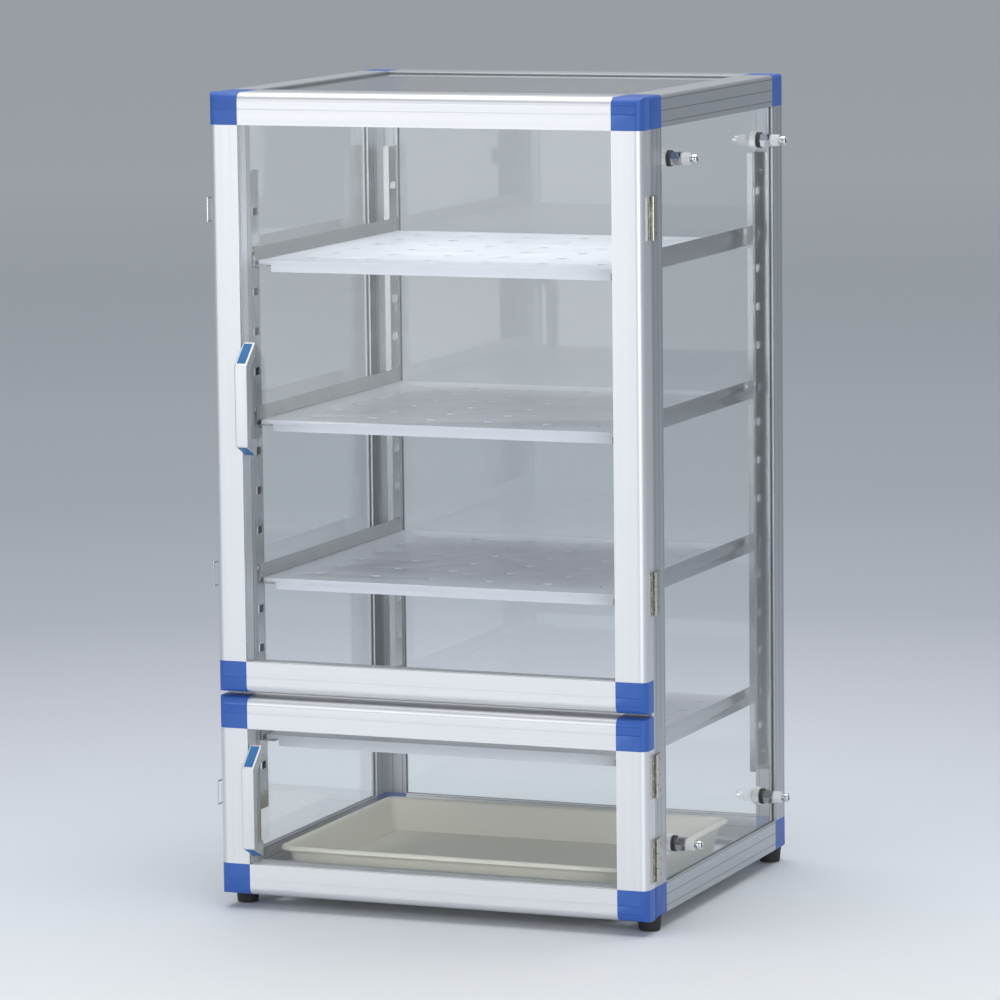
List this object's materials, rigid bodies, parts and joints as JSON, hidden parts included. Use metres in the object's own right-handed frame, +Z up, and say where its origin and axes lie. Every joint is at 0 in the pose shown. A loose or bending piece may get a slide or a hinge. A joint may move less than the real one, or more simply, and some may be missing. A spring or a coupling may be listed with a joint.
{
  "type": "glass desiccator cabinet",
  "caption": "Upright clear-walled desiccator cabinet with a tall and a low hinged door, lift-out perforated shelves, a drying-agent tray, toggle latches and side tube ports.",
  "frame": {"origin": "on the floor, at the middle of the footprint of the closed cabinet (over the frame, without hinges, ports, latches and handles)", "axes": "+X to the right seen from the front, +Y from the doors to the rear, +Z up"},
  "size_m": [0.4641, 0.408, 0.77],
  "materials": {
    "frame_aluminium": "satin anodised aluminium extrusion",
    "block_blue": "moulded blue plastic",
    "clear_panel": "clear polished sheet",
    "door_glass": "clear polished sheet",
    "grey_rubber": "matt elastomer",
    "black_rubber": "matt elastomer",
    "polished_steel": "bright rolled stainless sheet",
    "plated_steel": "nickel-plated steel",
    "bright_chrome": "chrome plate",
    "collar_white": "moulded plastic",
    "handle_aluminium": "satin anodised aluminium",
    "shelf_white": "moulded plastic",
    "tray_beige": "moulded plastic"
  },
  "bodies": {
    "root": {"front_posts": "frame_aluminium", "rear_posts": "frame_aluminium", "top_rails": "frame_aluminium", "bottom_rails": "frame_aluminium", "middle_rail": "frame_aluminium", "body_corner_blocks": "block_blue", "top_panel": "clear_panel", "bottom_panel": "clear_panel", "left_panel": "clear_panel", "right_panel": "clear_panel", "rear_panel": "clear_panel", "panel_gaskets": "grey_rubber", "shelf_pillars": "polished_steel", "left_brackets": "polished_steel", "right_brackets": "polished_steel", "body_screws": "plated_steel", "feet": "black_rubber", "hinge_body_leaves": "plated_steel", "hinge_pins": "plated_steel", "latch_bases": "bright_chrome", "port_bodies": "bright_chrome", "port_gaskets": "black_rubber", "port_nuts": "collar_white"},
    "upper_door": {"upper_door_stiles": "frame_aluminium", "upper_door_rails": "frame_aluminium", "upper_door_corner_blocks": "block_blue", "upper_door_glass": "door_glass", "upper_door_seal": "black_rubber", "upper_door_hinge_leaves": "plated_steel", "upper_door_screws": "plated_steel", "upper_door_handle": "handle_aluminium", "upper_door_handle_caps": "block_blue", "upper_door_latch_strikes": "bright_chrome"},
    "lower_door": {"lower_door_stiles": "frame_aluminium", "lower_door_rails": "frame_aluminium", "lower_door_corner_blocks": "block_blue", "lower_door_glass": "door_glass", "lower_door_seal": "black_rubber", "lower_door_hinge_leaves": "plated_steel", "lower_door_screws": "plated_steel", "lower_door_handle": "handle_aluminium", "lower_door_handle_caps": "block_blue", "lower_door_latch_strikes": "bright_chrome"},
    "shelf_1": {"shelf_1": "shelf_white"},
    "shelf_2": {"shelf_2": "shelf_white"},
    "shelf_3": {"shelf_3": "shelf_white"},
    "shelf_4": {"shelf_4": "shelf_white"},
    "tray": {"tray": "tray_beige"},
    "latch_lever_1": {"latch_lever_1": "bright_chrome"},
    "latch_bail_1": {"latch_bail_1": "bright_chrome"},
    "latch_lever_2": {"latch_lever_2": "bright_chrome"},
    "latch_bail_2": {"latch_bail_2": "bright_chrome"},
    "latch_lever_3": {"latch_lever_3": "bright_chrome"},
    "latch_bail_3": {"latch_bail_3": "bright_chrome"},
    "port_collar_1": {"port_collar_1": "collar_white"},
    "port_collar_2": {"port_collar_2": "collar_white"},
    "port_collar_3": {"port_collar_3": "collar_white"},
    "port_collar_4": {"port_collar_4": "collar_white"}
  },
  "joints": [
    {"name": "upper_door_hinge", "type": "hinge", "parent": "root", "child": "upper_door", "pos_m": [0.2175, -0.1745, 0.48825], "axis": [0, 0, 1], "range_deg": [0, 165]},
    {"name": "lower_door_hinge", "type": "hinge", "parent": "root", "child": "lower_door", "pos_m": [0.2175, -0.1745, 0.10775], "axis": [0, 0, 1], "range_deg": [0, 165]},
    {"name": "shelf_1_lift", "type": "slide", "parent": "root", "child": "shelf_1", "axis": [0, 0, 1], "range_m": [0, 0.1]},
    {"name": "shelf_2_lift", "type": "slide", "parent": "root", "child": "shelf_2", "axis": [0, 0, 1], "range_m": [0, 0.1]},
    {"name": "shelf_3_lift", "type": "slide", "parent": "root", "child": "shelf_3", "axis": [0, 0, 1], "range_m": [0, 0.1]},
    {"name": "shelf_4_lift", "type": "slide", "parent": "root", "child": "shelf_4", "axis": [0, 0, 1], "range_m": [0, 0.1]},
    {"name": "tray_lift", "type": "slide", "parent": "root", "child": "tray", "axis": [0, 0, 1], "range_m": [0, 0.09]},
    {"name": "latch_lever_1_hinge", "type": "hinge", "parent": "root", "child": "latch_lever_1", "pos_m": [-0.2185, -0.168, 0.10775], "axis": [0, 0, 1], "range_deg": [-14, 106]},
    {"name": "latch_bail_1_hinge", "type": "hinge", "parent": "latch_lever_1", "child": "latch_bail_1", "pos_m": [-0.22039, -0.1592, 0.10775], "axis": [0, 0, 1], "range_deg": [-127.5, 17]},
    {"name": "latch_lever_2_hinge", "type": "hinge", "parent": "root", "child": "latch_lever_2", "pos_m": [-0.2185, -0.168, 0.3165], "axis": [0, 0, 1], "range_deg": [-14, 106]},
    {"name": "latch_bail_2_hinge", "type": "hinge", "parent": "latch_lever_2", "child": "latch_bail_2", "pos_m": [-0.22039, -0.1592, 0.3165], "axis": [0, 0, 1], "range_deg": [-127.5, 17]},
    {"name": "latch_lever_3_hinge", "type": "hinge", "parent": "root", "child": "latch_lever_3", "pos_m": [-0.2185, -0.168, 0.66], "axis": [0, 0, 1], "range_deg": [-14, 106]},
    {"name": "latch_bail_3_hinge", "type": "hinge", "parent": "latch_lever_3", "child": "latch_bail_3", "pos_m": [-0.22039, -0.1592, 0.66], "axis": [0, 0, 1], "range_deg": [-127.5, 17]},
    {"name": "port_collar_1_slide", "type": "slide", "parent": "root", "child": "port_collar_1", "axis": [1, 0, 0], "range_m": [0, 0.006]},
    {"name": "port_collar_2_slide", "type": "slide", "parent": "root", "child": "port_collar_2", "axis": [1, 0, 0], "range_m": [0, 0.006]},
    {"name": "port_collar_3_slide", "type": "slide", "parent": "root", "child": "port_collar_3", "axis": [1, 0, 0], "range_m": [0, 0.006]},
    {"name": "port_collar_4_slide", "type": "slide", "parent": "root", "child": "port_collar_4", "axis": [1, 0, 0], "range_m": [0, 0.006]}
  ],
  "couplings": [
    {"joint": "latch_bail_1_hinge", "follows": "latch_lever_1_hinge", "ratio": -1.2},
    {"joint": "latch_bail_2_hinge", "follows": "latch_lever_2_hinge", "ratio": -1.2},
    {"joint": "latch_bail_3_hinge", "follows": "latch_lever_3_hinge", "ratio": -1.2}
  ]
}
